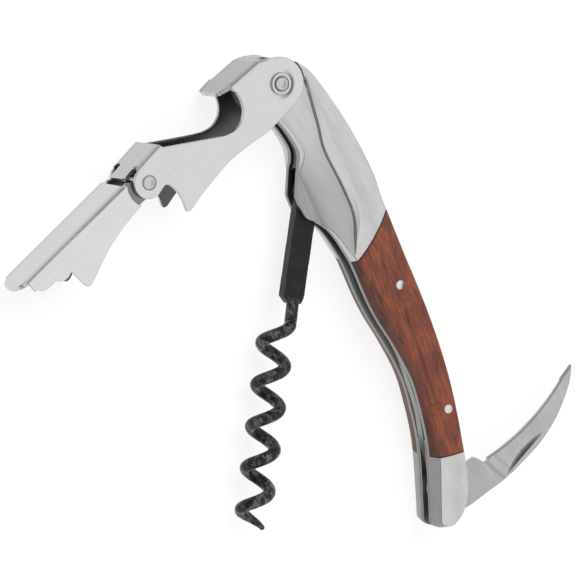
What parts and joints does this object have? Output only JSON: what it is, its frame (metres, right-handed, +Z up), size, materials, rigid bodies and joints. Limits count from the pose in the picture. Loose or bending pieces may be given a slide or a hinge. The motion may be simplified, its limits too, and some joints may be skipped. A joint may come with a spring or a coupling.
{
  "type": "lever corkscrew",
  "caption": "Waiter's corkscrew with a wood-scaled steel handle, folding two-step lever with cap lifter, black coated worm and folding serrated foil cutter.",
  "frame": {"origin": "centre of the lever rivet's flat end, on the plane the corkscrew rests on when it lies on its side", "axes": "+Z up along every hinge pin, through the thickness; +X along the handle from the lever rivet to the tail; +Y towards the handle's back, away from the worm and the lever"},
  "size_m": [0.126, 0.1267, 0.0146],
  "materials": {
    "bolster_steel": "fine brushed stainless steel",
    "lever_steel": "satin folded stainless sheet with soft bends",
    "stamped_steel": "dull stamped steel with sheared edges",
    "blade_steel": "ground steel with a bevelled serrated edge",
    "polished_pins": "polished rivet ends",
    "rosewood": "oiled reddish-brown wood with dark streaks",
    "black_coating": "black non-stick coating over steel wire, slightly mottled"
  },
  "bodies": {
    "handle": {"liner_right": "stamped_steel", "liner_left": "stamped_steel", "head_bolster_right": "bolster_steel", "head_bolster_left": "bolster_steel", "scale_right": "rosewood", "scale_left": "rosewood", "tail_bolster_right": "bolster_steel", "tail_bolster_left": "bolster_steel", "scale_pin_front_right": "polished_pins", "scale_pin_front_left": "polished_pins", "scale_pin_rear_right": "polished_pins", "scale_pin_rear_left": "polished_pins", "head_spacer": "stamped_steel", "back_spring": "stamped_steel", "worm_pin": "polished_pins", "blade_pin": "polished_pins", "spring_pin_front": "polished_pins", "spring_pin_rear": "polished_pins", "lever_rivet": "polished_pins", "lever_washer_right": "polished_pins", "lever_washer_left": "polished_pins"},
    "lever": {"lever_arm": "lever_steel", "hinge_rivet": "polished_pins"},
    "foot": {"lever_foot": "lever_steel"},
    "worm_body": {"worm": "black_coating"},
    "blade_body": {"blade": "blade_steel"}
  },
  "joints": [
    {"name": "lever_fold", "type": "hinge", "parent": "handle", "child": "lever", "pos_m": [0, 0, 0.0073], "axis": [0, 0, 1], "range_deg": [-57, 68.5]},
    {"name": "foot_hinge", "type": "hinge", "parent": "lever", "child": "foot", "pos_m": [0.00535, -0.03984, 0.0073], "axis": [0, 0, 1], "range_deg": [-45, 4]},
    {"name": "worm_fold", "type": "hinge", "parent": "handle", "child": "worm_body", "pos_m": [0.0275, -0.0009, 0.0073], "axis": [0, 0, 1], "range_deg": [-58, 32]},
    {"name": "blade_fold", "type": "hinge", "parent": "handle", "child": "blade_body", "pos_m": [0.1105, 0.0025, 0.0073], "axis": [0, 0, 1], "range_deg": [-100, 68]}
  ],
  "couplings": [
    {"joint": "worm_fold", "follows": "lever_fold", "ratio": 0.46715}
  ]
}
